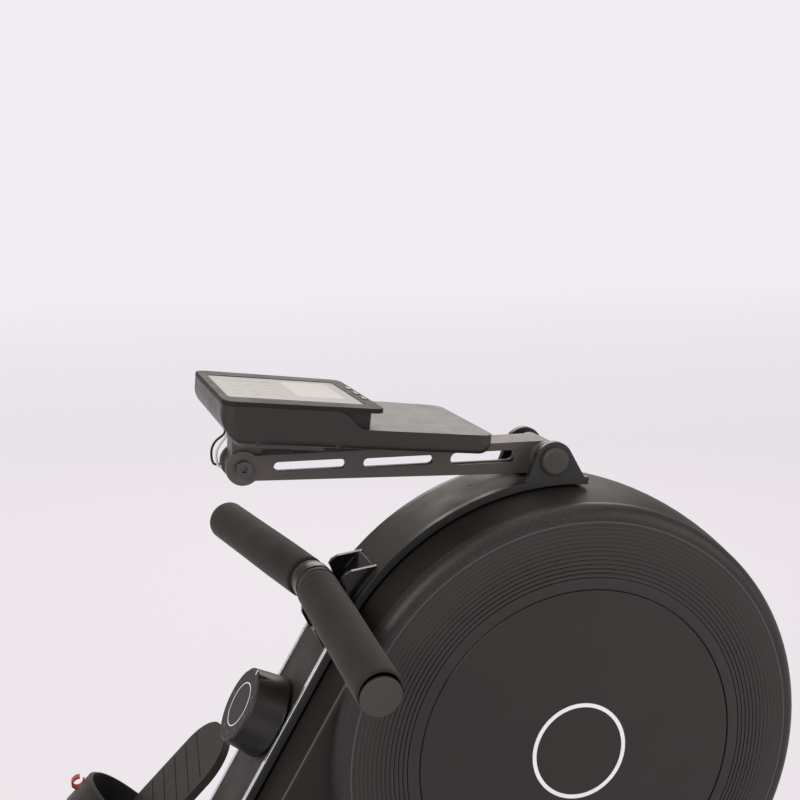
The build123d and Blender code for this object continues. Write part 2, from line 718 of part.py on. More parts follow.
def footplate_left():
    """Ribbed footplate with a rounded toe, a heel cup and two axle lugs."""
    mid = (plate_y0 + plate_y1) / 2
    width = plate_y1 - plate_y0
    face = Pos(mid, plate_len / 2) * RectangleRounded(width, plate_len, 44)
    plate = extrude(on_sole(0, -plate_t) * face, amount=plate_t)
    for i in range(9):
        groove = Pos(mid, 38 + i * 18) * Rot(0, 0, -8) * Rectangle(width + 30, 1.6)
        inset = Pos(mid, plate_len / 2) * RectangleRounded(width - 12, plate_len - 12, 40)
        plate -= extrude(on_sole(0, -1.4) * (groove & inset), amount=3)
    cup_shape = Pos(mid, plate_len / 2) * RectangleRounded(width, plate_len, 44)
    cup_shape -= Pos(mid, plate_len / 2) * RectangleRounded(width - 9, plate_len - 9, 39.5)
    cup_shape &= Pos(mid, plate_len - 30) * Rectangle(width + 4, 62)
    plate += extrude(on_sole(0, -1) * cup_shape, amount=38)
    px, pz = pedal_axis()
    for y in (plate_y0 + 12, plate_y1 - 20):
        centre = Vector(px, 0, pz)
        lug = Pos(px, pz) * Circle(14)
        half = Vector(sole_down.X, 0, sole_down.Z) * 14
        up = sole_normal * (pedal_drop - plate_t + 0.5)
        lug += polygon(*[((centre + p).X, (centre + p).Z) for p in (half, half + up, up - half, half * -1)])
        plate += across(lug, y, y + 8)
    return plate - rod(px, pz, pedal_r + fit_gap, 0, 300)


def foot_strap_left():
    """Webbing arch over the foot, from one edge of the plate to the other, with its pull loop."""
    mid = (plate_y0 + plate_y1) / 2
    half = (plate_y1 - plate_y0) / 2
    centre_u = 150.0
    arch_plane = Plane(origin=Vector(toe_x, mid, toe_z) + sole_down * (centre_u - 24), x_dir=(0, 1, 0),
                       z_dir=sole_down)
    outer = Ellipse(half + 4, 74) & Pos(0, -40) * Rectangle(200, 80)
    inner = Ellipse(half + 1.2, 71) & Pos(0, -40) * Rectangle(200, 80)
    arch = extrude(arch_plane * (outer - inner), amount=48)
    foot_y = plate_y1 + 0.8
    arch += extrude(on_sole(centre_u - 24, -plate_t) * Pos(foot_y + 1.5, 24) * Rectangle(2.8, 48), amount=plate_t + 1)
    arch += extrude(on_sole(centre_u - 24, -plate_t) * Pos(2 * mid - foot_y - 1.5, 24) * Rectangle(2.8, 48),
                    amount=plate_t + 1)
    loop_plane = Plane(origin=Vector(toe_x, mid + 6, toe_z) + sole_down * (centre_u - 10) + sole_normal * 79,
                       x_dir=sole_down, z_dir=(0, 1, 0))
    loop = extrude(loop_plane * (Circle(7.5) - Circle(5.6)), amount=3, both=True)
    return arch, loop


# ---- rail and seat ----------------------------------------------------------------------
def rail():
    """Aluminium seat rail with side grooves and a hinge tongue on top of its front end."""
    section = Rectangle(2 * rail_half, rail_h) - Rectangle(2 * rail_half - 12, rail_h - 12)
    for side in (1, -1):
        section -= Pos(side * rail_half, 4) * Rectangle(6, 14)
    plane = Plane(origin=(rail_front_x, 0, rail_top_z - rail_h / 2), x_dir=(0, 1, 0), z_dir=(-1, 0, 0))
    beam = extrude(plane * section, amount=rail_front_x - rear_end_x - 6)
    tongue = Pos(fold_x, fold_z) * Circle(13)
    tongue += polygon((fold_x - 13, fold_z), (fold_x - 34, rail_top_z - 1), (rail_front_x, rail_top_z - 1),
                      (fold_x + 8, fold_z - 8))
    beam += across(tongue, -17, 17)
    return beam - rod(fold_x, fold_z, 6 + fit_gap, -40, 40)


def rail_end_cap():
    cap = block(rear_end_x, rear_end_x + 6, -rail_half - 2, rail_half + 2, rail_top_z - rail_h - 2, rail_top_z + 2)
    return fillet(cap.edges().filter_by(Axis.X), 5)


def hinge_pin():
    pin = rod(fold_x, fold_z, 6, -rail_half - 6, rail_half + 16)
    return pin + rod(fold_x, fold_z, 10, -rail_half - 11, -rail_half - 6)


def clamp_knob():
    """Hand knob on the threaded end of the folding pin."""
    y0 = rail_half + 6.5
    knob = rod(fold_x, fold_z, 21, y0 + 6, y0 + 24)
    for i in range(6):
        x, z = polar(26, i * 60)
        knob -= rod(fold_x + x, fold_z + z, 8, y0, y0 + 30)
    knob += rod(fold_x, fold_z, 11, y0, y0 + 7)
    return knob - rod(fold_x, fold_z, 6 + fit_gap, y0 - 2, y0 + 12)


def seat_carriage():
    """Folded bracket that wraps the rail; the roller axles run in its cheeks."""
    length = 200.0
    y1 = rail_half + 9
    top = block(seat_x - length / 2, seat_x + length / 2, -y1, y1, seat_z0 - 5, seat_z0)
    cheek = block(seat_x - length / 2, seat_x + length / 2, y1 - 4, y1, rail_top_z - rail_h - 9, seat_z0)
    lip = block(seat_x - length / 2, seat_x + length / 2, rail_half - 8, y1, rail_top_z - rail_h - 9,
                rail_top_z - rail_h - 5)
    bracket = top + cheek + mirrored(cheek) + lip + mirrored(lip)
    for side in (1, -1):
        bracket -= rod(seat_x + side * roller_x, roller_z, 5 + fit_gap, -60, 60)
    return bracket


def seat_rollers(side):
    x = seat_x + side * roller_x
    axle = rod(x, roller_z, 5, -rail_half - 12, rail_half + 12)
    for y in (-18, 6):
        axle += rod(x, roller_z, roller_r, y, y + 12)
    return axle


def seat_pad():
    """Moulded seat: wide at the back, waisted at the front, a little dished on top."""
    back = Pos(seat_x - 40, 0) * RectangleRounded(seat_l - 80, seat_w, 60)
    front = Pos(seat_x + 50, 0) * RectangleRounded(seat_l - 100, seat_w - 70, 50)
    outline = back + front
    pad = extrude(Plane.XY.offset(seat_z0) * outline, amount=seat_z1 - seat_z0)
    return fillet(pad.edges().group_by(Axis.Z)[-1], 14)


# ---- write the parts --------------------------------------------------------------------
def main():
    os.makedirs("parts", exist_ok=True)
    save("main_frame", main_frame())
    save("front_foot", front_foot())
    save("middle_foot", cross_foot(mid_foot_x, 170, floor_z))
    save("foot_caps", *foot_caps(front_foot_x, 235), *foot_caps(mid_foot_x, 170))
    save("transport_wheel_left", transport_wheel(1))
    save("transport_wheel_right", transport_wheel(-1))

    left = housing_left()
    save("housing_left", left)
    save("housing_right", mirrored(left))
    save("side_disc_left", side_disc_left())
    save("side_disc_right", mirrored(side_disc_left()))
    save("emblem_rings", emblem_ring(1), emblem_ring(-1))

    save("neck_cover", neck_cover())
    save("cover_screws", *[cover_screw(s) for s in screw_places])
    save("arm_bracket_left", arm_bracket_left())
    save("arm_bracket_right", mirrored(arm_bracket_left()))
    save("neck_trims", neck_trim(1), neck_trim(-1))

    save("flywheel_axle", rod(0, 0, axle_r, -58, 62))
    save("flywheel", flywheel())
    save("flywheel_bearings", bearing(17, 25), bearing(36, 44))
    save("strap_spool", strap_spool())
    save("rewind_spring_case", rewind_spring_case())
    save("magnet_arm", magnet_arm())
    save("brake_magnets", *brake_magnets())

    save("drive_strap", drive_strap())
    save("guide_roller", guide_roller())
    save("handle_cradle", handle_cradle())

    save("handle_tube", handle_tube())
    save("grip_left", grip(1))
    save("grip_right", grip(-1))
    save("grip_plugs", grip_plug(1), grip_plug(-1))
    save("handle_collar", handle_collar())
    save("strap_clip", strap_clip())

    save("tension_knob", tension_knob())
    save("knob_collar", knob_collar())

    save("console_arm", console_arm())
    save("arm_pivot_bolt", rod(*arm_pivot, 6, -flange_y1, flange_y1))
    save("pivot_caps", pivot_cap(1), pivot_cap(-1))
    save("console_bolt", console_bolt())
    save("console_bracket", console_bracket())
    save("console_back", console_back())
    save("console_bezel", console_bezel())
    save("console_screen", console_screen())
    for name, y in zip(("right", "middle", "left"), key_ys):
        save(f"console_key_{name}", console_key(y))
    save("console_wires", wire(-5, 24), wire(6, 27))

    save("pedal_axle", rod(*pedal_axis(), pedal_r, -plate_y1 + 6, plate_y1 - 6))
    save("footplate_left", footplate_left())
    save("footplate_right", mirrored(footplate_left()))
    arch, loop = foot_strap_left()
    save("foot_strap_left", arch, loop)
    save("foot_strap_right", mirrored(arch), mirrored(loop))

    save("rail", rail())
    save("rail_hinge_pin", hinge_pin())
    save("rail_clamp_knob", clamp_knob())
    save("rear_foot", cross_foot(rear_foot_x, 190, rail_top_z - rail_h))
    save("rail_caps", rail_end_cap(), *foot_caps(rear_foot_x, 190))
    save("seat_carriage", seat_carriage())
    save("seat_rollers_front", seat_rollers(1))
    save("seat_rollers_rear", seat_rollers(-1))
    save("seat_pad", seat_pad())


main()
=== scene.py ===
import json
from math import acos, cos, pi, radians, sin, sqrt

import bmesh
import bpy
import numpy as np
from mathutils import Matrix, Vector


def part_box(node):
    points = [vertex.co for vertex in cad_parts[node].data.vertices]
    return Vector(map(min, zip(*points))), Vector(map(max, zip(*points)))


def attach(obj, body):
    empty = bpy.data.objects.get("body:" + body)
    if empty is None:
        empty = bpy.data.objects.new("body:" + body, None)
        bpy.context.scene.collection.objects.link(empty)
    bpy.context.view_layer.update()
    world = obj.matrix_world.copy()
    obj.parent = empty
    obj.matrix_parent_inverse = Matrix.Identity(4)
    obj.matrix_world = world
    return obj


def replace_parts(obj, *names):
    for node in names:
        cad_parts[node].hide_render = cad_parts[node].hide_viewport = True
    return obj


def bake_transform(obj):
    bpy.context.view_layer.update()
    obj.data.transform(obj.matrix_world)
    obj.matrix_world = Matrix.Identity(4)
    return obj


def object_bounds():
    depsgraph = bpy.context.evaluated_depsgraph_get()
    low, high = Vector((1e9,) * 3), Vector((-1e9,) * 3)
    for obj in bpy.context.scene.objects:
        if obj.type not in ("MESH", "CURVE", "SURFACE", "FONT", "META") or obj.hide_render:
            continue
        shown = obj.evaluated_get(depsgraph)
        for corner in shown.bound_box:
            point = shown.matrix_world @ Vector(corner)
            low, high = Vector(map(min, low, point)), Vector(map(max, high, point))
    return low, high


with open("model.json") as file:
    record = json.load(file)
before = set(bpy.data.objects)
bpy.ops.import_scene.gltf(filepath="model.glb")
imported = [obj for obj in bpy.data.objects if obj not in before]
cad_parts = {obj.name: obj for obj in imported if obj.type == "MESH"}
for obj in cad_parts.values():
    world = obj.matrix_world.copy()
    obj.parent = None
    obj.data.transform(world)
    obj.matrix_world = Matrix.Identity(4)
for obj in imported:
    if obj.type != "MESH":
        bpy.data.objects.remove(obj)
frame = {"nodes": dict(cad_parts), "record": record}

# The whole scene is in metres, in the row frame: x forward, y to the user's left, z up.
# Sizes below are written in millimetres from the flywheel axle, and at() brings them over.

cad_lo, cad_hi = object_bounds()
nodes = frame["nodes"]


def middle(node):
    lo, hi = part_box(node)
    return (lo + hi) / 2


axle = middle("flywheel_axle")
axle.y = 0.0


def at(x, y, z):
    """Row-frame point from millimetres measured at the flywheel axle."""
    return axle + Vector((x, y, z)) / 1000


# ---- camera -----------------------------------------------------------------------------
scene = bpy.context.scene
camera_place = at(-516, -1189, 566)
camera_aim = Vector((0.2845, 0.9427, -0.1743))
camera = bpy.data.objects.new("studio_camera", bpy.data.cameras.new("studio_camera"))
scene.collection.objects.link(camera)
camera.location = camera_place
camera.rotation_mode = "QUATERNION"
camera.rotation_quaternion = camera_aim.to_track_quat("-Z", "Y")
camera.data.sensor_width = 36.0
camera.data.lens = 57.74
camera.data.clip_start = 0.02
camera.data.clip_end = 200.0
scene.camera = camera
scene.view_settings.view_transform = "Standard"

# ---- directions shared by the pieces ----------------------------------------------------
neck_out = Vector((-cos(radians(30)), 0, 0.5))          # out of the neck's cover
neck_down = Vector((-0.5, 0, -cos(radians(30))))
screen_slope = radians(6.3)
screen_along = Vector((cos(screen_slope), 0, -sin(screen_slope)))
screen_up = Vector((sin(screen_slope), 0, cos(screen_slope)))
screen_pivot = middle("console_bolt")
screen_pivot.y = 0.0
side_y = Vector((0, 1, 0))


# ---- materials --------------------------------------------------------------------------
class Finish:
    """One node-based material: colour drift, fine grain, softened edges and edge wear."""

    def __init__(self, name, colour, rough=0.5, metal=0.0, specular=0.5):
        self.mat = bpy.data.materials.new(name)
        self.mat.use_nodes = True
        self.tree = self.mat.node_tree
        self.shader = self.tree.nodes["Principled BSDF"]
        self.shader.inputs["Metallic"].default_value = metal
        self.shader.inputs["Specular IOR Level"].default_value = specular
        self.point = self.add("ShaderNodeTexCoord").outputs["Object"]
        self.base = colour
        self.colour = None
        self.rough = rough
        self.heights = []

    def add(self, kind, **values):
        node = self.tree.nodes.new(kind)
        for key, value in values.items():
            setattr(node, key, value)
        return node

    def join(self, source, target):
        self.tree.links.new(source, target)

    def feed(self, socket, value):
        if hasattr(value, "is_output"):
            self.join(value, socket)
        else:
            socket.default_value = value

    def maths(self, operation, a, b=0.0):
        node = self.add("ShaderNodeMath", operation=operation)
        self.feed(node.inputs[0], a)
        self.feed(node.inputs[1], b)
        return node.outputs[0]

    def span(self, value, low, high, out_low=0.0, out_high=1.0):
        node = self.add("ShaderNodeMapRange")
        node.clamp = True
        self.feed(node.inputs[0], value)
        for i, number in enumerate((low, high, out_low, out_high)):
            node.inputs[i + 1].default_value = number
        return node.outputs[0]

    def noise(self, scale, detail=3.0, stretch=None, roughness=0.55):
        node = self.add("ShaderNodeTexNoise")
        node.inputs["Scale"].default_value = scale
        node.inputs["Detail"].default_value = detail
        node.inputs["Roughness"].default_value = roughness
        source = self.point
        if stretch:
            mapping = self.add("ShaderNodeMapping")
            mapping.inputs["Scale"].default_value = stretch
            self.join(self.point, mapping.inputs["Vector"])
            source = mapping.outputs["Vector"]
        self.join(source, node.inputs["Vector"])
        return node.outputs["Fac"]

    def cells(self, scale, feature="F1"):
        node = self.add("ShaderNodeTexVoronoi", feature=feature)
        node.inputs["Scale"].default_value = scale
        self.join(self.point, node.inputs["Vector"])
        return node.outputs["Distance"]

    def mixed(self, factor, first, second):
        node = self.add("ShaderNodeMix", data_type="RGBA")
        self.feed(node.inputs["Factor"], factor)
        for socket, value in ((node.inputs[6], first), (node.inputs[7], second)):
            if hasattr(value, "is_output"):
                self.join(value, socket)
            else:
                socket.default_value = (*value, 1)
        return node.outputs[2]

    def drift(self, amount, scale):
        """Slow change of tone over the surface."""
        low = tuple(c * (1 - amount) for c in self.base)
        high = tuple(min(1.0, c * (1 + amount)) for c in self.base)
        self.colour = self.mixed(self.span(self.noise(scale, 4.0), 0.35, 0.65), low, high)
        return self

    def paint(self, mask, colour):
        self.colour = self.mixed(mask, self.colour, colour)
        return self

    def grain(self, height, strength, distance):
        self.heights.append((height, strength, distance))
        return self

    def vary_rough(self, spread, scale):
        low, high = self.rough - spread, self.rough + spread
        self.rough = self.span(self.noise(scale, 4.0), 0.3, 0.7, max(0.02, low), min(1.0, high))
        return self

    def done(self, edge=0.0006, wear=0.0, wear_colour=(0.3, 0.3, 0.3)):
        normal = None
        if edge:
            soft = self.add("ShaderNodeBevel", samples=4)
            soft.inputs["Radius"].default_value = edge
            normal = soft.outputs["Normal"]
            if wear:
                flat = self.add("ShaderNodeNewGeometry").outputs["Normal"]
                dot = self.add("ShaderNodeVectorMath", operation="DOT_PRODUCT")
                self.join(normal, dot.inputs[0])
                self.join(flat, dot.inputs[1])
                mask = self.span(dot.outputs["Value"], 0.995, 0.90, 0.0, wear)
                patchy = self.maths("MULTIPLY", mask, self.span(self.noise(90.0), 0.35, 0.6, 0.35, 1.0))
                self.paint(patchy, wear_colour)
        for height, strength, distance in self.heights:
            bump = self.add("ShaderNodeBump")
            bump.inputs["Strength"].default_value = strength
            bump.inputs["Distance"].default_value = distance
            self.join(height, bump.inputs["Height"])
            if normal is not None:
                self.join(normal, bump.inputs["Normal"])
            normal = bump.outputs["Normal"]
        if normal is not None:
            self.join(normal, self.shader.inputs["Normal"])
        self.join(self.colour, self.shader.inputs["Base Color"])
        self.feed(self.shader.inputs["Roughness"], self.rough)
        return self.mat

    def from_axle(self):
        """Distance from the flywheel axle, in millimetres."""
        shift = self.add("ShaderNodeVectorMath", operation="SUBTRACT")
        shift.inputs[1].default_value = axle
        self.join(self.point, shift.inputs[0])
        flat = self.add("ShaderNodeVectorMath", operation="MULTIPLY")
        flat.inputs[1].default_value = (1000, 0, 1000)
        self.join(shift.outputs[0], flat.inputs[0])
        length = self.add("ShaderNodeVectorMath", operation="LENGTH")
        self.join(flat.outputs[0], length.inputs[0])
        return length.outputs["Value"]

    def along(self, direction, origin):
        """Distance from origin along a direction, in millimetres."""
        shift = self.add("ShaderNodeVectorMath", operation="SUBTRACT")
        shift.inputs[1].default_value = origin
        self.join(self.point, shift.inputs[0])
        dot = self.add("ShaderNodeVectorMath", operation="DOT_PRODUCT")
        dot.inputs[1].default_value = Vector(direction) * 1000
        self.join(shift.outputs[0], dot.inputs[0])
        return dot.outputs["Value"]

    def inside(self, value, low, high, soft):
        """1 where low < value < high, fading over soft."""
        rise = self.span(value, low - soft, low + soft)
        fall = self.span(value, high - soft, high + soft, 1.0, 0.0)
        return self.maths("MULTIPLY", rise, fall)


def plastic(name, colour, rough=0.5, grain=0.16, drift=0.12, wear=0.10, edge=0.0006, specular=0.45):
    f = Finish(name, colour, rough, specular=specular).drift(drift, 9.0).vary_rough(0.06, 40.0)
    f.grain(f.cells(1400.0), grain, 0.00012)
    f.grain(f.noise(260.0, 4.0), grain * 0.6, 0.0002)
    return f.done(edge, wear, tuple(min(1.0, c * 3.2 + 0.03) for c in colour))


def painted(name, colour, rough=0.42, metal=0.35, wear=0.25, edge=0.0007):
    f = Finish(name, colour, rough, metal).drift(0.10, 7.0).vary_rough(0.07, 30.0)
    f.grain(f.noise(900.0, 5.0), 0.16, 0.00012)
    return f.done(edge, wear, tuple(min(1.0, c * 4 + 0.05) for c in colour))


def bare_metal(name, colour, rough=0.3, stretch=(30.0, 700.0, 30.0)):
    f = Finish(name, colour, rough, 1.0).drift(0.08, 14.0).vary_rough(0.09, 60.0)
    f.grain(f.noise(3.0, 5.0, stretch), 0.22, 0.0001)
    return f.done(0.0005, 0.35, tuple(min(1.0, c * 1.4) for c in colour))


def rubber(name, colour, rough=0.75, wear=0.12):
    f = Finish(name, colour, rough, specular=0.3).drift(0.18, 18.0).vary_rough(0.06, 70.0)
    f.grain(f.noise(700.0, 6.0), 0.35, 0.0003)
    return f.done(0.0008, wear, tuple(min(1.0, c * 2.5 + 0.02) for c in colour))


def drum_finish():
    """Casing: matt ridged face, darker flaked shoulder, satin crown; painted highlights on the ridge crests,
    the ridge ring's outer edge and the neck's edge.
    """
    f = Finish("drum_casing", (0.0138, 0.0120, 0.0112), 0.46, specular=0.42).drift(0.12, 6.0)
    radius = f.from_axle()
    across = f.maths("ABSOLUTE", f.along((0, 1, 0), axle))
    down = f.along(neck_down, axle)
    out = f.along(neck_out, axle)
    shoulder = f.inside(radius, 235.2, 250.5, 0.5)
    shoulder = f.maths("MULTIPLY", shoulder, f.span(across, 78.0, 79.5))
    flake = f.span(f.noise(2600.0, 1.0), 0.50, 0.66)
    f.paint(f.maths("MULTIPLY", shoulder, 0.75), (0.0150, 0.0142, 0.0138))
    f.paint(f.maths("MULTIPLY", f.maths("MULTIPLY", shoulder, flake), 0.55), (0.105, 0.105, 0.108))
    # painted highlight: a pale thin ring along the ridge ring's outer edge, standing in for light caught by
    # that edge
    rim = f.inside(radius, 233.2, 234.6, 0.25)
    rim = f.maths("MULTIPLY", rim, f.span(across, 92.0, 93.0))
    f.paint(f.maths("MULTIPLY", rim, 0.6), (0.085, 0.082, 0.080))
    # painted highlight: a pale line along the neck's corner edge, standing in for light caught by that edge
    corner = f.inside(f.maths("ADD", out, across), 325.4, 330.0, 0.15)
    corner = f.maths("MULTIPLY", corner, f.span(down, 4.0, 30.0))
    corner = f.maths("MULTIPLY", corner, f.span(across, 79.6, 79.2))
    f.paint(f.maths("MULTIPLY", corner, 0.7), (0.26, 0.26, 0.265))
    # painted highlight: pale lines along every ridge crest, standing in for light caught by the ridges
    ridge = f.inside(radius, 176.0, 233.5, 0.8)
    comb = f.maths("SINE", f.maths("MULTIPLY", f.maths("SUBTRACT", radius, 179.0), 2 * pi / 4.4))
    crest_highlight = f.maths("MULTIPLY", f.span(comb, 0.93, 1.0), f.maths("MULTIPLY", ridge, 0.5))
    f.paint(crest_highlight, (0.075, 0.072, 0.068))
    f.rough = f.span(f.maths("ADD", shoulder, f.noise(40.0)), 0.4, 1.5, 0.50, 0.40)
    f.feed(f.shader.inputs["Specular IOR Level"], f.span(radius, 233.0, 236.0, 0.42, 0.20))
    f.grain(f.cells(1500.0), 0.14, 0.00012)
    f.grain(f.noise(2600.0, 1.0), 0.18, 0.00008)
    return f.done(0.0006, 0.10, (0.07, 0.068, 0.065))


def disc_finish():
    """Round cover: matt, with a faintly redder field inside the ring."""
    f = Finish("drum_disc", (0.0135, 0.0122, 0.0112), 0.50, specular=0.4).drift(0.10, 7.0)
    radius = f.from_axle()
    f.paint(f.maths("MULTIPLY", f.span(radius, 46.4, 45.8), 0.85), (0.0165, 0.0115, 0.0105))
    f.vary_rough(0.05, 30.0)
    f.grain(f.cells(1500.0), 0.13, 0.00012)
    f.grain(f.noise(420.0, 3.0), 0.08, 0.0002)
    return f.done(0.0006, 0.30, (0.12, 0.12, 0.12))


def foam_finish():
    f = Finish("grip_foam", (0.0215, 0.0180, 0.0160), 0.86, specular=0.14).drift(0.16, 28.0)
    pores = f.cells(1100.0)
    f.paint(f.maths("MULTIPLY", f.span(pores, 0.18, 0.05), 0.55), (0.010, 0.009, 0.008))
    f.shader.inputs["Sheen Weight"].default_value = 0.12
    f.shader.inputs["Sheen Roughness"].default_value = 0.5
    f.vary_rough(0.05, 80.0)
    f.grain(pores, 0.45, 0.0003)
    f.grain(f.noise(160.0, 4.0), 0.22, 0.0006)
    return f.done(0.0)


def webbing_finish(name, colour, along, across, pitch=1.7):
    """Flat woven tape: ribs across its length and a fine herringbone."""
    f = Finish(name, colour, 0.78, specular=0.25).drift(0.12, 45.0)
    run = f.along(along, axle)
    side = f.along(across, axle)
    ribs = f.maths("SINE", f.maths("MULTIPLY", run, 2 * pi / pitch))
    ends = f.maths("SINE", f.maths("MULTIPLY", side, 2 * pi / (pitch * 0.8)))
    weave = f.maths("MULTIPLY", ribs, ends)
    f.paint(f.span(weave, 0.1, 0.9, 0.0, 0.5), tuple(c * 2.4 + 0.006 for c in colour))
    f.shader.inputs["Sheen Weight"].default_value = 0.3
    f.grain(weave, 0.6, 0.0003)
    f.grain(f.noise(900.0, 3.0), 0.2, 0.0002)
    return f.done(0.0)


def vinyl_finish():
    f = Finish("seat_vinyl", (0.017, 0.0165, 0.0165), 0.44, specular=0.5).drift(0.14, 14.0)
    f.vary_rough(0.08, 26.0)
    f.grain(f.cells(420.0, "DISTANCE_TO_EDGE"), 0.35, 0.0004)
    f.grain(f.cells(900.0), 0.15, 0.0002)
    return f.done(0.0)


def display_finish():
    """Grey liquid-crystal display: paler window, hairline dividers, under a glossy cover."""
    f = Finish("display_glass", (0.190, 0.186, 0.186), 0.30, specular=0.4).drift(0.05, 11.0)
    a = f.along(screen_along, screen_pivot)
    y = f.along(side_y, screen_pivot)
    window = f.maths("MULTIPLY", f.inside(a, 42.0, 88.0, 0.4), f.inside(y, -36.0, 50.0, 0.4))
    f.paint(f.maths("MULTIPLY", window, 0.75), (0.40, 0.392, 0.378))
    for place in (-2.0, 20.0, 41.0):
        stroke = f.inside(a, place - 0.25, place + 0.25, 0.15)
        line = f.maths("MULTIPLY", stroke, f.inside(y, -59.0, 59.0, 0.4))
        f.paint(f.maths("MULTIPLY", line, 0.4), (0.16, 0.16, 0.158))
    border = f.maths("MAXIMUM", f.span(f.maths("ABSOLUTE", y), 62.0, 62.7),
                     f.span(f.maths("ABSOLUTE", f.maths("SUBTRACT", a, 35.5)), 60.2, 60.9))
    f.paint(f.maths("MULTIPLY", border, 0.7), (0.13, 0.13, 0.128))
    f.shader.inputs["Coat Weight"].default_value = 0.3
    f.shader.inputs["Coat Roughness"].default_value = 0.08
    f.grain(f.noise(1200.0, 2.0), 0.05, 0.0001)
    return f.done(0.0005)


black = plastic("black_moulding", (0.0105, 0.0098, 0.0094), 0.44)
gloss_black = plastic("gloss_moulding", (0.0045, 0.0043, 0.0042), 0.22, grain=0.05,
                      wear=0.16, edge=0.0009, specular=0.32)
sole = plastic("sole_moulding", (0.029, 0.0240, 0.0212), 0.62, grain=0.30)
console_skin = plastic("console_moulding", (0.0165, 0.0143, 0.0128), 0.38, grain=0.14,
                       wear=0.16, specular=0.38)
bezel_skin = plastic("bezel_moulding", (0.0140, 0.0120, 0.0108), 0.52, grain=0.12, wear=0.22, specular=0.14)
key_skin = plastic("key_rubber", (0.045, 0.043, 0.042), 0.55, grain=0.2)
knob_skin = plastic("knob_moulding", (0.0105, 0.0098, 0.0092), 0.40, grain=0.10, wear=0.22, edge=0.0008)
plug_skin = plastic("plug_moulding", (0.036, 0.0335, 0.0300), 0.60, grain=0.22)
nylon = plastic("roller_nylon", (0.06, 0.06, 0.06), 0.45)
frame_coat = painted("frame_coat", (0.018, 0.018, 0.019))
satin = painted("neck_satin", (0.0265, 0.0210, 0.0180), 0.54, 0.20, 0.12, 0.0004)
gunmetal = painted("arm_gunmetal", (0.076, 0.069, 0.063), 0.46, 0.3, 0.16, 0.0007)
bracket_coat = painted("bracket_gunmetal", (0.0200, 0.0205, 0.0205), 0.36, 0.4, 0.40, 0.0005)
steel = bare_metal("machined_steel", (0.50, 0.50, 0.51))
dark_steel = bare_metal("blackened_steel", (0.09, 0.09, 0.095), 0.34)
iron = bare_metal("turned_iron", (0.16, 0.16, 0.17), 0.42, (4.0, 900.0, 4.0))
magnet_plate = bare_metal("plated_magnet", (0.62, 0.62, 0.64), 0.18)
anodised = bare_metal("anodised_rail", (0.40, 0.40, 0.42), 0.36, (2.0, 400.0, 400.0))
trim = bare_metal("bright_trim", (0.86, 0.86, 0.88), 0.22, (20.0, 400.0, 20.0))
tyre = rubber("wheel_rubber", (0.016, 0.016, 0.016))
pad_rubber = rubber("foot_rubber", (0.014, 0.014, 0.014))
foam = foam_finish()
vinyl = vinyl_finish()
glass = display_finish()
drum = drum_finish()
disc = disc_finish()
white = Finish("white_print", (0.80, 0.80, 0.83), 0.38).drift(0.03, 30.0)
white = white.grain(white.noise(800.0), 0.05, 0.0001).done(0.0003)
blue = Finish("blue_print", (0.045, 0.17, 0.34), 0.45).drift(0.08, 60.0)
blue = blue.grain(blue.noise(800.0), 0.05, 0.0001).done(0.0)
dial = Finish("dial_face", (0.0170, 0.0132, 0.0115), 0.52, specular=0.4).drift(0.1, 40.0)
dial = dial.grain(dial.cells(1600.0), 0.14, 0.0001).done(0.0004)
red = webbing_finish("red_tape", (0.30, 0.012, 0.014), (-0.707, 0, -0.707), (0, 1, 0), 1.2)
tape = webbing_finish("strap_webbing", (0.011, 0.011, 0.011), neck_out, (0, 1, 0))
sole_tape = webbing_finish("foot_webbing", (0.011, 0.0105, 0.010), (-0.707, 0, -0.707), (0, 1, 0))
thread = rubber("stitch_thread", (0.05, 0.05, 0.05), 0.7, 0.0)
lead_white = rubber("white_lead", (0.55, 0.55, 0.55), 0.45, 0.0)
lead_black = rubber("black_lead", (0.012, 0.012, 0.012), 0.45, 0.0)

slot_finish = {
    "frame_paint": frame_coat, "black_plastic": black, "drum_plastic": drum, "cover_satin": satin,
    "bracket_metal": gunmetal, "bright_trim": trim, "white_ring": white, "steel": steel, "iron": iron,
    "magnet": magnet_plate, "webbing": tape, "foam": foam, "console_plastic": console_skin,
    "display": glass, "wire": lead_white, "aluminium_rail": anodised, "roller": nylon,
    "wheel_tyre": tyre, "seat_skin": vinyl,
}
own_finish = {
    "side_disc_left": disc, "side_disc_right": disc, "handle_cradle": gloss_black, "tension_knob": knob_skin,
    "pivot_caps": plug_skin, "footplate_left": sole, "footplate_right": sole, "console_bezel": bezel_skin,
    "console_key_left": key_skin, "console_key_middle": key_skin, "console_key_right": key_skin,
    "arm_bracket_left": bracket_coat, "arm_bracket_right": bracket_coat, "cover_screws": black,
    "console_bolt": dark_steel, "foot_caps": pad_rubber, "rail_caps": pad_rubber,
    "seat_carriage": frame_coat, "strap_clip": dark_steel, "grip_plugs": plug_skin,
    "handle_collar": plug_skin,
}
for part in frame["record"]["subparts"]:
    finish = own_finish.get(part["node"], slot_finish[part["material_slot"]])
    for holder in nodes[part["node"]].material_slots:
        holder.material = finish


# ---- mesh helpers -----------------------------------------------------------------------
def piece(name, mesh_or_bm, material, body=None, smooth=True):
    """Puts a mesh in the scene as one named piece riding on a body."""
    if isinstance(mesh_or_bm, bmesh.types.BMesh):
        mesh = bpy.data.meshes.new(name)
        bmesh.ops.recalc_face_normals(mesh_or_bm, faces=mesh_or_bm.faces)
        mesh_or_bm.to_mesh(mesh)
        mesh_or_bm.free()
    else:
        mesh = mesh_or_bm
    mesh.materials.clear()
    mesh.materials.append(material)
    if smooth:
        mesh.shade_smooth()
    made = bpy.data.objects.new(name, mesh)
    scene.collection.objects.link(made)
    if body:
        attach(made, body)
    return made


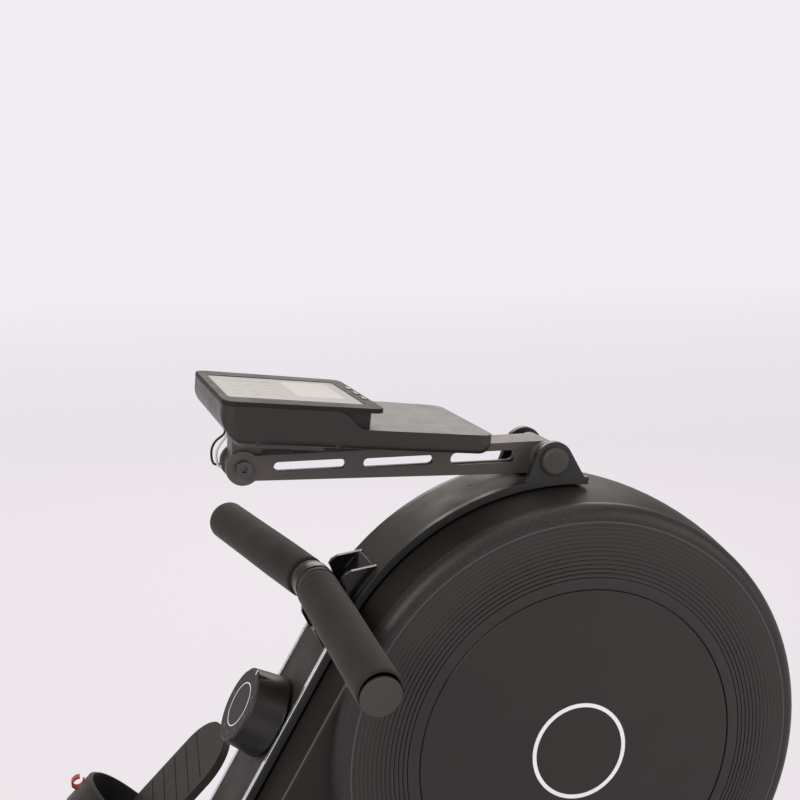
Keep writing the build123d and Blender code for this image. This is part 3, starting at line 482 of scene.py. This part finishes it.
def ring_loft(rings, closed_ends=True, bm=None):
    """Skin a list of rings, each the same number of points."""
    bm = bm or bmesh.new()
    loops = [[bm.verts.new(p) for p in ring] for ring in rings]
    count = len(rings[0])
    for one, two in zip(loops, loops[1:]):
        for i in range(count):
            j = (i + 1) % count
            bm.faces.new((one[i], one[j], two[j], two[i]))
    if closed_ends:
        bm.faces.new(reversed(loops[0]))
        bm.faces.new(loops[-1])
    return bm


def smooth_path(points, per_span=8):
    """Points on a Catmull-Rom curve through the given ones."""
    ends = [2 * points[0] - points[1], *points, 2 * points[-1] - points[-2]]
    path = []
    for k in range(1, len(ends) - 2):
        p0, p1, p2, p3 = ends[k - 1:k + 3]
        for i in range(per_span):
            t = i / per_span
            path.append(0.5 * (2 * p1 + (p2 - p0) * t + (2 * p0 - 5 * p1 + 4 * p2 - p3) * t ** 2
                               + (3 * p1 - p0 - 3 * p2 + p3) * t ** 3))
    path.append(points[-1].copy())
    return path


def tube_mesh(path, radius, sides=12, bm=None):
    rings = []
    across = Vector((0, 1, 0))
    for i, p in enumerate(path):
        before, after = path[max(0, i - 1)], path[min(len(path) - 1, i + 1)]
        tangent = (after - before).normalized()
        across = (across - tangent * across.dot(tangent)).normalized()
        other = tangent.cross(across)
        rings.append([p + radius * (cos(2 * pi * k / sides) * across + sin(2 * pi * k / sides) * other)
                      for k in range(sides)])
    return ring_loft(rings, bm=bm)


def ribbon_mesh(centre_line, widths, half_width, half_thick, bm=None):
    """Flat tape with softened edges: centre_line points, widths the direction across it."""
    rings = []
    for i, p in enumerate(centre_line):
        before, after = centre_line[max(0, i - 1)], centre_line[min(len(centre_line) - 1, i + 1)]
        tangent = (after - before).normalized()
        face = tangent.cross(widths).normalized()
        ring = []
        for u, v in ((-1, -0.35), (-0.97, -1), (-0.5, -1), (0, -1), (0.5, -1), (0.97, -1), (1, -0.35),
                     (1, 0.35), (0.97, 1), (0.5, 1), (0, 1), (-0.5, 1), (-0.97, 1), (-1, 0.35)):
            ring.append(p + widths * half_width * u + face * half_thick * v)
        rings.append(ring)
    return ring_loft(rings, bm=bm)


# ---- foam grips -------------------------------------------------------------------------
bar_middle = middle("handle_collar")
plug_mesh = np.array([v.co for v in nodes["grip_plugs"].data.vertices])
end_left = Vector(plug_mesh[plug_mesh[:, 1] > 0].mean(0))
end_right = Vector(plug_mesh[plug_mesh[:, 1] < 0].mean(0))
grip_radius = 0.0213


def foam_grip(name, body_end, node):
    """Foam sleeve with rounded ends, a slight swell and a shallow seat for its end plug."""
    start = (body_end - bar_middle).normalized()
    reach = (body_end - bar_middle).length - 0.0008
    across = Vector((0, 0, 1))
    across = (across - start * across.dot(start)).normalized()
    other = start.cross(across)
    profile = [(0.0148, 0.0128), (0.0148, 0.0186), (0.0152, 0.0202), (0.0163, 0.0210)]
    stations = 40
    for i in range(stations + 1):
        share = i / stations
        swell = 0.00022 * sin(pi * share) - 0.00010 * cos(3 * pi * share)
        profile.append((0.0185 + (reach - 0.0220) * share, grip_radius - 0.0001 + swell))
    profile += [(reach - 0.0022, 0.0210), (reach - 0.0008, 0.0204), (reach - 0.0002, 0.0197),
                (reach - 0.0009, 0.0191), (reach - 0.0034, 0.0189)]
    rings = []
    for along, radius in profile:
        rings.append([bar_middle + start * along
                      + radius * (cos(2 * pi * k / 64) * across + sin(2 * pi * k / 64) * other)
                      for k in range(64)])
    sleeve = piece(name, ring_loft(rings, closed_ends=False), foam, "handle")
    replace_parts(sleeve, node)
    return sleeve


foam_grip("foam_sleeve_left", end_left, "grip_left")
foam_grip("foam_sleeve_right", end_right, "grip_right")

# ---- pull strap -------------------------------------------------------------------------
bar_x, bar_z = -246.3, 167.8        # middle of the bar, from the axle
strap_angle = pi - acos(-bar_x / sqrt(bar_x ** 2 + bar_z ** 2))


def from_axle(radius, angle):
    return at(radius * cos(angle), 0, radius * sin(angle))


coil_reach = 53.3
mouth_reach, clip_reach = 250, 260.3
tangent_angle = strap_angle - acos(coil_reach / mouth_reach)
strap_mouth = from_axle(mouth_reach, strap_angle)
strap_end = from_axle(clip_reach, strap_angle)
strap_coil = from_axle(coil_reach, tangent_angle)
line = [strap_coil.lerp(strap_mouth, i / 24) for i in range(25)]
line += [strap_mouth.lerp(strap_end, i / 12) for i in range(1, 13)]
pull_strap = piece("pull_strap", ribbon_mesh(line, side_y, 0.0098, 0.0007), tape)
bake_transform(pull_strap)
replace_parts(pull_strap, "drive_strap")

# ---- console leads ----------------------------------------------------------------------


def on_console(a, y, h):
    """Row-frame point from the console's own axes: along, across and out, in millimetres."""
    return screen_pivot + (screen_along * a + side_y * y + screen_up * h) / 1000


def lead(name, y, reach, material):
    """Thin wire that loops out of the console's underside and into the open end of the arm."""
    points = [on_console(-15.5, y, 37.4), on_console(-16.6, y - 0.6, 28.0),
              on_console(-reach + 3, y - 1.0, 20.5), on_console(-reach, y, 12.5),
              on_console(-reach + 0.8, y + 0.8, 3.5), on_console(-reach + 3.5, y + 0.5, -2.0),
              on_console(-18.2, y, -2.0)]
    made = piece(name, tube_mesh(smooth_path(points, 6), 0.00115), material)
    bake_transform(made)
    return made


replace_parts(lead("console_lead_white", -5, 24, lead_white), "console_wires")
lead("console_lead_black", 6, 27, lead_black)


# ---- knob face --------------------------------------------------------------------------
knob_axis = neck_out
knob_down, knob_top = 118.0, 304.5     # down the neck from the axle's foot on it, and out from the axle
knob_face = axle + (neck_down * knob_down + neck_out * knob_top) / 1000


def on_knob(radius, angle, lift=0.0):
    """Point on the knob's face: angle from the upper rim, clockwise when looking at it."""
    up = -neck_down
    return knob_face + (up * (radius * cos(angle)) - side_y * (radius * sin(angle))) / 1000 + knob_axis * lift


def ring_plate(name, point, inner, outer, lift0, lift1, material, body, steps=96):
    rings = []
    for radius, lift in ((inner, lift0), (inner, lift1), (outer, lift1), (outer, lift0)):
        rings.append([point(radius, 2 * pi * k / steps, lift) for k in range(steps)])
    rings.append(rings[0])
    bm = ring_loft(rings, closed_ends=False)
    bmesh.ops.remove_doubles(bm, verts=bm.verts, dist=1e-7)
    return piece(name, bm, material, body, smooth=False)


ring_plate("dial_plate", on_knob, 2.0, 35.6, -0.0003, 0.00015, dial, "knob")
ring_plate("dial_ring", on_knob, 21.5, 22.6, 0.0001, 0.0003, white, "knob")
ring_plate("dial_rim", on_knob, 35.4, 36.2, 0.0000, 0.00025, bracket_coat, "knob")


def dial_number(label, angle):
    """Small printed numeral on the dial."""
    text = bpy.data.curves.new(f"dial_number_{label}", "FONT")
    text.body = label
    text.size = 0.0062
    text.extrude = 0.00008
    text.align_x = "CENTER"
    text.align_y = "CENTER"
    made = bpy.data.objects.new(f"dial_number_{label}", text)
    scene.collection.objects.link(made)
    place = on_knob(29.0, angle, 0.0003)
    up = (place - knob_face - knob_axis * 0.0003).normalized()
    right = up.cross(knob_axis)
    made.matrix_world = Matrix((
        (right.x, up.x, knob_axis.x, place.x), (right.y, up.y, knob_axis.y, place.y),
        (right.z, up.z, knob_axis.z, place.z), (0, 0, 0, 1)))
    bpy.context.view_layer.update()
    mesh = bpy.data.meshes.new_from_object(made)
    mesh.transform(made.matrix_world)
    bpy.data.objects.remove(made)
    piece(f"dial_numeral_{label}", mesh, blue, "knob", smooth=False)


for i in range(8):
    dial_number(str(i + 1), radians(18 + i * 36))


def small_plate(name, place, right, up, width, height, thick, material, body):
    """Thin printed mark or pad with rounded corners."""
    out = right.cross(up)
    corner = min(width, height) * 0.28
    outline = []
    for cx, cy, start in ((1, 1, 0), (-1, 1, 90), (-1, -1, 180), (1, -1, 270)):
        for k in range(4):
            angle = radians(start + 30 * k)
            outline.append((cx * (width / 2 - corner) + corner * cos(angle),
                            cy * (height / 2 - corner) + corner * sin(angle)))
    rings = [[place + right * x + up * y + out * lift for x, y in outline] for lift in (0.0, thick)]
    return piece(name, ring_loft(rings), material, body, smooth=False)


small_plate("dial_pointer", on_knob(36.2, radians(2), 0.0), -side_y, -neck_down, 0.0016, 0.0058, 0.0004,
            white, "knob")

# ---- console print ----------------------------------------------------------------------
key_along, key_top, glass_top = 107.0, 75.85, 74.67
key_places = {"left": 30.0, "middle": 0.0, "right": -30.0}
for side, y in key_places.items():
    place = on_console(key_along, y, key_top)
    for k, shift in enumerate((0.0042, -0.0042, 0.0)):
        size = (0.0022, 0.0030) if k < 2 else (0.0012, 0.0016)
        small_plate(f"key_mark_{side}_{k}", place + side_y * shift, screen_along, side_y,
                    size[0], size[1], 0.00012, white, f"key_{side}")
lcd = Finish("lcd_segments", (0.19, 0.19, 0.186), 0.4).drift(0.05, 60.0)
lcd = lcd.grain(lcd.noise(900.0), 0.04, 0.0001).done(0.0)
for row in range(3):
    for col in range(5):
        if (row + col) % 4 == 3:
            continue
        small_plate(f"lcd_bar_{row}_{col}", on_console(-14.0 + row * 19.0, -40.0 + col * 20.0, glass_top),
                    screen_along, side_y, 0.0075 if col % 2 else 0.0100, 0.0030, 0.00006,
                    lcd, "console")

# ---- foot straps ------------------------------------------------------------------------
sole_down = Vector((-sqrt(0.5), 0, -sqrt(0.5)))
sole_up = Vector((-sqrt(0.5), 0, sqrt(0.5)))
toe = at(-320, 0, -36)
plate_y = 137.0                      # middle of a footplate
strap_u, strap_half, strap_rise = 150.0, 55.4, 72.4


def on_sole(u, y, h):
    """Row-frame point on a footplate: u down from the toe, y across, h above its face, in millimetres."""
    return toe + (sole_down * u + side_y * y + sole_up * h) / 1000


def foot_strap(side):
    """Webbing arch with its upper layer, stitched edges and red pull loop."""
    name = "left" if side > 0 else "right"
    body = f"pedal_{name}"
    centre = side * plate_y
    line = []
    for i in range(13):
        line.append((-53.0 - 2.6, -9.5 + i * 0.75))
    for i in range(1, 48):
        angle = pi - pi * i / 48
        line.append((strap_half * cos(angle), strap_rise * sin(angle)))
    for i in range(13):
        line.append((53.0 + 2.6, -0.5 - i * 0.75))
    points = [on_sole(strap_u, centre + x, max(h, -9.5)) for x, h in line]
    band = piece(f"foot_webbing_{name}", ribbon_mesh(points, sole_down, 0.0235, 0.0013), sole_tape,
                 body)
    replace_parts(band, f"foot_strap_{name}")
    above = [on_sole(strap_u - 4, centre + x * 1.022, h * 1.022 + 0.4) for x, h in line[22:52]]
    upper = ribbon_mesh(above, sole_down, 0.0180, 0.0012)
    piece(f"foot_webbing_tail_{name}", upper, sole_tape, body)
    bm = bmesh.new()
    for edge in (-20.5, 20.5):
        for i in range(14, 58, 1):
            x, h = line[i]
            p = on_sole(strap_u + edge, centre + x * 1.026, h * 1.026 + 0.2)
            q = on_sole(strap_u + edge, centre + line[i + 1][0] * 1.026, line[i + 1][1] * 1.026 + 0.2)
            tube_mesh([p.lerp(q, 0.15), p.lerp(q, 0.5) + sole_up * 0.0003, p.lerp(q, 0.8)], 0.0004, 6, bm)
    piece(f"foot_stitching_{name}", bm, thread, body)
    loop = []
    for i in range(33):
        angle = radians(-60 + 300 * i / 32)
        loop.append(on_sole(strap_u - 10 + 6.5 * sin(angle), centre + side * (6 + 1.2 * cos(angle)),
                            strap_rise + 7.6 - 6.0 * cos(angle)))
    piece(f"pull_loop_{name}", ribbon_mesh(loop, side_y, 0.0045, 0.0009), red, body)


foot_strap(1)
foot_strap(-1)


# ---- seat -------------------------------------------------------------------------------
seat_lo, seat_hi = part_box("seat_pad")
seat_mid = (seat_lo + seat_hi) / 2


def seat_outline(share, grow):
    """Half-width of the seat at a share of its length, 0 at the back, with its waist and front."""
    curve = [(0.0, 0.66), (0.06, 0.86), (0.16, 0.97), (0.30, 1.0), (0.45, 0.985), (0.60, 0.90), (0.75, 0.80),
             (0.88, 0.735), (0.96, 0.62), (1.0, 0.44)]
    for (s0, w0), (s1, w1) in zip(curve, curve[1:]):
        if share <= s1:
            t = (share - s0) / (s1 - s0)
            return (w0 + (w1 - w0) * t) * grow
    return curve[-1][1] * grow


def seat_blank():
    """Crowned closed form a little smaller than the finished pad."""
    half_w = (seat_hi.y - seat_lo.y) / 2 - 0.008
    length = seat_hi.x - seat_lo.x - 0.014
    depth = seat_hi.z - seat_lo.z
    count = 60
    edge = []
    for i in range(count):
        angle = 2 * pi * i / count
        c, s = cos(angle), sin(angle)
        x = 0.5 + 0.5 * (abs(c) ** 0.62) * (1 if c >= 0 else -1)
        w = seat_outline(x, 1.0) * (abs(s) ** 0.55) * (1 if s >= 0 else -1)
        edge.append((x, w))
    rings = []
    for inset, height in ((0.10, 0.0), (0.02, 0.0), (0.0, 0.10), (0.0, 0.45), (0.015, 0.66), (0.06, 0.80),
                          (0.16, 0.885), (0.34, 0.90), (0.55, 0.865), (0.78, 0.835)):
        ring = []
        for x, w in edge:
            px = seat_lo.x + 0.007 + length * (0.5 + (x - 0.5) * (1 - inset))
            py = seat_mid.y + half_w * w * (1 - inset)
            rise = 0.0
            if height > 0.6:
                back = max(0.0, 0.45 - (px - seat_lo.x) / length)
                dish = 1 - min(1.0, abs(py) / (half_w * 0.95)) ** 2
                rise = depth * (0.16 * back - 0.10 * dish * (1 - back))
            ring.append(Vector((px, py, seat_lo.z + depth * height + rise)))
        rings.append(ring)
    return ring_loft(rings)


def cushion_seat():
    pad = piece("seat_cushion", seat_blank(), vinyl)
    remesh = pad.modifiers.new("remesh", "REMESH")
    remesh.mode = "VOXEL"
    remesh.voxel_size = 0.005
    bpy.context.view_layer.objects.active = pad
    pad.select_set(True)
    bpy.ops.object.modifier_apply(modifier="remesh")
    rest = np.array([v.co for v in pad.data.vertices])
    held = pad.vertex_groups.new(name="held")
    held.add([i for i, p in enumerate(rest) if p[2] < seat_lo.z + 0.010], 1.0, "REPLACE")
    cloth = pad.modifiers.new("cloth", "CLOTH")
    cloth.settings.use_pressure = True
    cloth.settings.uniform_pressure_force = 4.0
    cloth.settings.vertex_group_mass = "held"
    cloth.settings.effector_weights.gravity = 0.0
    cloth.settings.quality = 4
    cloth.point_cache.frame_end = 20
    for number in range(1, 21):
        scene.frame_set(number)
    graph = bpy.context.evaluated_depsgraph_get()
    puffed = pad.evaluated_get(graph)
    moved = np.array([v.co for v in puffed.data.vertices])
    pad.modifiers.remove(cloth)
    scene.frame_set(1)
    step = moved - rest
    size = np.linalg.norm(step, axis=1, keepdims=True)
    cap = 0.006
    step *= np.minimum(1.0, cap / np.maximum(size, 1e-9))
    pad.data.vertices.foreach_set("co", (rest + step).ravel())
    points = np.array([v.co for v in pad.data.vertices])
    seam = seat_lo.z + 0.016
    depth_in = 0.0016 * np.exp(-((points[:, 2] - seam) / 0.0026) ** 2)
    outward = points[:, :2] - np.array([seat_mid.x, seat_mid.y])
    outward /= np.maximum(np.linalg.norm(outward, axis=1, keepdims=True), 1e-6)
    points[:, :2] -= outward * depth_in[:, None]
    points[:, 2] = np.clip(points[:, 2], seat_lo.z + 0.0002, seat_hi.z + 0.004)
    pad.data.vertices.foreach_set("co", points.ravel())
    smoother = pad.modifiers.new("smooth", "SMOOTH")
    smoother.iterations = 3
    smoother.factor = 0.4
    subdivide = pad.modifiers.new("subdivide", "SUBSURF")
    subdivide.levels = 1
    subdivide.render_levels = 1
    bpy.ops.object.modifier_apply(modifier="smooth")
    bpy.ops.object.modifier_apply(modifier="subdivide")
    pad.data.shade_smooth()
    pad.select_set(False)
    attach(pad, "seat")
    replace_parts(pad, "seat_pad")


cushion_seat()

# ---- studio -----------------------------------------------------------------------------
floor_mesh = bpy.data.meshes.new("studio_floor")
floor_bm = bmesh.new()
reach = 60.0
bmesh.ops.create_grid(floor_bm, x_segments=4, y_segments=4, size=reach)
floor_bm.to_mesh(floor_mesh)
floor_bm.free()
floor_object = bpy.data.objects.new("studio_floor", floor_mesh)
scene.collection.objects.link(floor_object)
floor_object.location = (0, 0, cad_lo.z - 0.0005)
floor_look = Finish("studio_floor", (0.115, 0.108, 0.110), 0.9, specular=0.0).drift(0.006, 0.5)
floor_look.shader.inputs["Emission Color"].default_value = (0.888, 0.840, 0.893, 1)
far_away = floor_look.maths("ABSOLUTE", floor_look.along((0, 1, 0), axle))
far_away = floor_look.span(far_away, 900.0, 9000.0, 0.815, 0.958)
floor_look.feed(floor_look.shader.inputs["Emission Strength"], far_away)
floor_look = floor_look.done(0.0)
floor_mesh.materials.append(floor_look)

world = bpy.data.worlds.new("studio_world")
scene.world = world
world.use_nodes = True
sky = world.node_tree
sky_out = sky.nodes["World Output"]
lit = sky.nodes["Background"]
lit.inputs["Color"].default_value = (1.0, 0.94, 0.90, 1)
lit.inputs["Strength"].default_value = 0.33
seen = sky.nodes.new("ShaderNodeBackground")
seen.inputs["Color"].default_value = (0.888, 0.840, 0.893, 1)
seen.inputs["Strength"].default_value = 1.0
ray = sky.nodes.new("ShaderNodeLightPath")
choose = sky.nodes.new("ShaderNodeMixShader")
sky.links.new(ray.outputs["Is Camera Ray"], choose.inputs["Fac"])
sky.links.new(lit.outputs["Background"], choose.inputs[1])
sky.links.new(seen.outputs["Background"], choose.inputs[2])
sky.links.new(choose.outputs["Shader"], sky_out.inputs["Surface"])


def soft_light(name, place, target, width, height, power, colour=(1, 1, 1)):
    lamp = bpy.data.lights.new(name, "AREA")
    lamp.shape = "RECTANGLE"
    lamp.size = width
    lamp.size_y = height
    lamp.energy = power
    lamp.color = colour
    holder = bpy.data.objects.new(name, lamp)
    scene.collection.objects.link(holder)
    holder.location = place
    holder.rotation_mode = "QUATERNION"
    holder.rotation_quaternion = (Vector(target) - Vector(place)).to_track_quat("-Z", "Y")
    holder.visible_camera = False


focus = at(-200, 0, 50)
soft_light("key_softbox", at(-1900, -1300, 1500), focus, 1.6, 1.6, 48, (1.0, 0.93, 0.87))
soft_light("top_softbox", at(-100, 200, 2400), focus, 2.6, 2.6, 24, (1.0, 0.94, 0.89))
soft_light("rear_softbox", at(600, 2300, 1500), focus, 2.2, 1.6, 28, (1.0, 0.94, 0.90))
soft_light("fill_softbox", at(1700, -1500, 900), focus, 1.6, 1.6, 22, (1.0, 0.93, 0.88))
